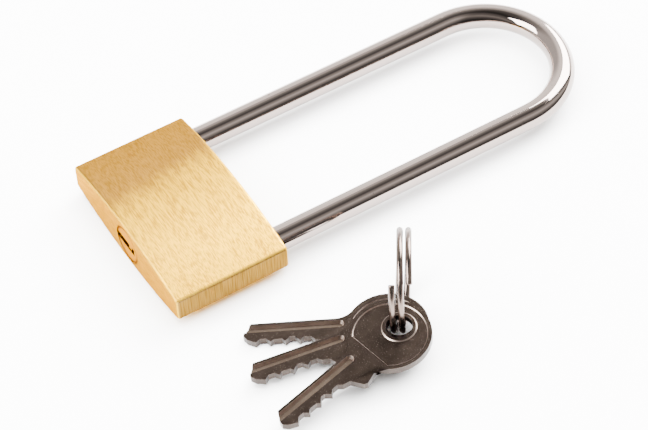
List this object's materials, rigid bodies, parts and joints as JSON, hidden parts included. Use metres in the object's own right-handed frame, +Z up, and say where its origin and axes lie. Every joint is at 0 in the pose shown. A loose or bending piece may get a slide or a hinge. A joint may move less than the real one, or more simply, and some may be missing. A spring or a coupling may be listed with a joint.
{
  "type": "padlock",
  "caption": "Long-shackle padlock: crowned rectangular brass body, tall chromed U-shackle, keyed turning core with sprung pins and a side latch, and its keys on a split ring.",
  "frame": {"origin": "centre of the flat end face that holds the keyway, at half the body's thickness", "axes": "+X across the body's width towards the keys, +Y from the keyway end to the shackle's bow, +Z up, square to the large faces, the lock lying on one of them"},
  "size_m": [0.0927, 0.1224, 0.024],
  "materials": {
    "body_brass": "brushed across the width, satin",
    "core_brass": "turned and faced, satin",
    "pin_brass": "turned",
    "shackle_chrome": "polished chrome plate",
    "latch_steel": "turned",
    "pin_steel": "ground flush",
    "spring_steel": "drawn wire",
    "key_nickel": "nickel plated, tumbled",
    "ring_nickel": "bright nickel plate"
  },
  "bodies": {
    "lock_body": {"body": "body_brass", "heel_stop": "latch_steel", "latch_bore_cap": "body_brass", "plug_retainer": "pin_steel", "latch_spring": "spring_steel", "shackle_spring": "spring_steel", "pin_spring_1": "spring_steel", "pin_spring_2": "spring_steel", "pin_spring_3": "spring_steel", "pin_spring_4": "spring_steel", "chamber_cap_1": "body_brass", "chamber_cap_2": "body_brass", "chamber_cap_3": "body_brass", "chamber_cap_4": "body_brass"},
    "shackle": {"shackle": "shackle_chrome"},
    "plug": {"plug": "core_brass"},
    "latch": {"latch": "latch_steel"},
    "driver_pin_1": {"driver_pin_1": "pin_brass"},
    "key_pin_1": {"key_pin_1": "pin_brass"},
    "driver_pin_2": {"driver_pin_2": "pin_brass"},
    "key_pin_2": {"key_pin_2": "pin_brass"},
    "driver_pin_3": {"driver_pin_3": "pin_brass"},
    "key_pin_3": {"key_pin_3": "pin_brass"},
    "driver_pin_4": {"driver_pin_4": "pin_brass"},
    "key_pin_4": {"key_pin_4": "pin_brass"},
    "key_ring": {"key_ring": "ring_nickel"},
    "key_1": {"key_1": "key_nickel"},
    "key_2": {"key_2": "key_nickel"},
    "key_3": {"key_3": "key_nickel"}
  },
  "joints": [
    {"name": "shackle_lift", "type": "slide", "parent": "lock_body", "child": "shackle", "axis": [0, 1, 0], "range_m": [0, 0.0115], "deforming": ["shackle_spring"]},
    {"name": "plug_turn", "type": "hinge", "parent": "lock_body", "child": "plug", "pos_m": [0.001, 0, 0], "axis": [0, 1, 0], "range_deg": [0, 90]},
    {"name": "latch_slide", "type": "slide", "parent": "lock_body", "child": "latch", "axis": [1, 0, 0], "range_m": [-0.0024, 0], "stiffness_N_per_m": 60, "springref_m": -0.012, "deforming": ["latch_spring"]},
    {"name": "driver_slide_1", "type": "slide", "parent": "lock_body", "child": "driver_pin_1", "axis": [-1, 0, 0], "range_m": [-0.00115, 0], "stiffness_N_per_m": 10, "springref_m": -0.02, "deforming": ["pin_spring_1"]},
    {"name": "key_pin_slide_1", "type": "slide", "parent": "plug", "child": "key_pin_1", "axis": [-1, 0, 0], "range_m": [-0.00115, 0]},
    {"name": "driver_slide_2", "type": "slide", "parent": "lock_body", "child": "driver_pin_2", "axis": [-1, 0, 0], "range_m": [-0.00085, 0], "stiffness_N_per_m": 10, "springref_m": -0.02, "deforming": ["pin_spring_2"]},
    {"name": "key_pin_slide_2", "type": "slide", "parent": "plug", "child": "key_pin_2", "axis": [-1, 0, 0], "range_m": [-0.00085, 0]},
    {"name": "driver_slide_3", "type": "slide", "parent": "lock_body", "child": "driver_pin_3", "axis": [-1, 0, 0], "range_m": [-0.00135, 0], "stiffness_N_per_m": 10, "springref_m": -0.02, "deforming": ["pin_spring_3"]},
    {"name": "key_pin_slide_3", "type": "slide", "parent": "plug", "child": "key_pin_3", "axis": [-1, 0, 0], "range_m": [-0.00135, 0]},
    {"name": "driver_slide_4", "type": "slide", "parent": "lock_body", "child": "driver_pin_4", "axis": [-1, 0, 0], "range_m": [-0.00105, 0], "stiffness_N_per_m": 10, "springref_m": -0.02, "deforming": ["pin_spring_4"]},
    {"name": "key_pin_slide_4", "type": "slide", "parent": "plug", "child": "key_pin_4", "axis": [-1, 0, 0], "range_m": [-0.00105, 0]},
    {"name": "keys_lift", "type": "slide", "parent": "lock_body", "child": "key_ring", "axis": [0, 0, 1], "range_m": [0, 0.06]},
    {"name": "swing_key_1", "type": "hinge", "parent": "key_ring", "child": "key_1", "pos_m": [0.05774, 0.03874, 0.0014], "axis": [0.0157, -0.0799, 0.9967], "range_deg": [-3, 20]},
    {"name": "swing_key_2", "type": "hinge", "parent": "key_ring", "child": "key_2", "pos_m": [0.05575, 0.04008, -0.0008], "axis": [-0.0141, -0.0659, 0.9977], "range_deg": [-3, 3]},
    {"name": "swing_key_3", "type": "hinge", "parent": "key_ring", "child": "key_3", "pos_m": [0.05459, 0.04086, -0.0029], "axis": [-0.0306, -0.0505, 0.9983], "range_deg": [-20, 3]}
  ],
  "couplings": [
    {"joint": "key_pin_slide_1", "follows": "driver_slide_1", "ratio": 1},
    {"joint": "key_pin_slide_2", "follows": "driver_slide_2", "ratio": 1},
    {"joint": "key_pin_slide_3", "follows": "driver_slide_3", "ratio": 1},
    {"joint": "key_pin_slide_4", "follows": "driver_slide_4", "ratio": 1}
  ]
}
